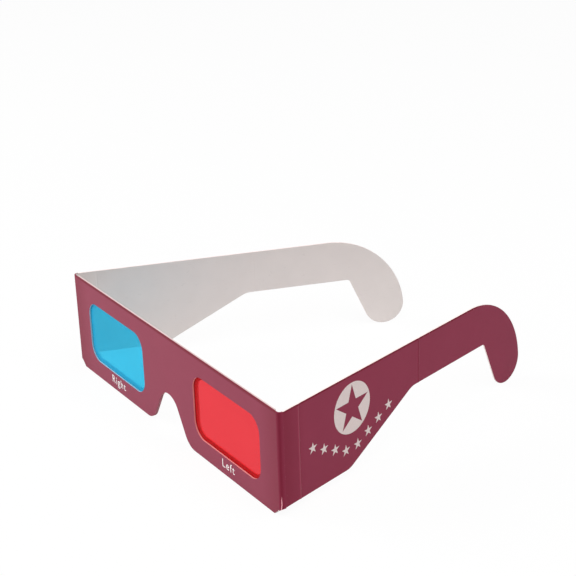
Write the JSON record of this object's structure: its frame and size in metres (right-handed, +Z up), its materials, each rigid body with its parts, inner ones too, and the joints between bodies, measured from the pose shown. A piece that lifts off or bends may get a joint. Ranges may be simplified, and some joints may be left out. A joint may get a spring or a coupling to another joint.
{
  "type": "folding card 3-D viewing glasses",
  "caption": "Folding card glasses with a red and a cyan film held between two plies of the front, a nose notch, and temples that fold flat and end in ear hooks.",
  "frame": {"origin": "middle of the footprint of the opened glasses, on the surface that they stand on", "axes": "+X towards the wearer's left, +Y from the front towards the ear hooks, +Z up"},
  "size_m": [0.1444, 0.1296, 0.038],
  "materials": {
    "printed_card": "satin",
    "white_card": "matte",
    "red_film": "gloss",
    "cyan_film": "gloss",
    "dried_glue": "matte"
  },
  "bodies": {
    "front": {"front_ply": "printed_card", "rear_ply": "white_card", "red_film": "red_film", "cyan_film": "cyan_film", "brow_glue": "dried_glue", "bridge_glue": "dried_glue", "left_cheek_glue": "dried_glue", "right_cheek_glue": "dried_glue", "left_end_glue": "dried_glue", "right_end_glue": "dried_glue", "left_fold": "printed_card", "right_fold": "printed_card"},
    "left_strip_body": {"left_strip": "printed_card", "left_side_score": "printed_card"},
    "left_arm_body": {"left_arm": "printed_card", "left_ear_score": "printed_card"},
    "left_hook_body": {"left_hook": "printed_card"},
    "right_strip_body": {"right_strip": "printed_card", "right_side_score": "printed_card"},
    "right_arm_body": {"right_arm": "printed_card", "right_ear_score": "printed_card"},
    "right_hook_body": {"right_hook": "printed_card"}
  },
  "joints": [
    {"name": "left_fold_hinge", "type": "hinge", "parent": "front", "child": "left_strip_body", "pos_m": [0.07075, -0.06334, 0.019], "axis": [0, 0, -1], "range_deg": [-74.5, 104], "deforming": ["left_fold"]},
    {"name": "left_side_hinge", "type": "hinge", "parent": "left_strip_body", "child": "left_arm_body", "pos_m": [0.07021, -0.05625, 0.019], "axis": [0, 0, 1], "range_deg": [0, 40], "deforming": ["left_side_score"]},
    {"name": "left_ear_hinge", "type": "hinge", "parent": "left_arm_body", "child": "left_hook_body", "pos_m": [0.05456, 0.00426, 0.019], "axis": [0, 0, 1], "range_deg": [0, 90], "deforming": ["left_ear_score"]},
    {"name": "right_fold_hinge", "type": "hinge", "parent": "front", "child": "right_strip_body", "pos_m": [-0.07075, -0.06334, 0.019], "axis": [0, 0, 1], "range_deg": [-71, 109], "deforming": ["right_fold"]},
    {"name": "right_side_hinge", "type": "hinge", "parent": "right_strip_body", "child": "right_arm_body", "pos_m": [-0.06959, -0.05632, 0.019], "axis": [0, 0, -1], "range_deg": [0, 40], "deforming": ["right_side_score"]},
    {"name": "right_ear_hinge", "type": "hinge", "parent": "right_arm_body", "child": "right_hook_body", "pos_m": [-0.04873, 0.0026, 0.019], "axis": [0, 0, -1], "range_deg": [0, 90], "deforming": ["right_ear_score"]}
  ]
}
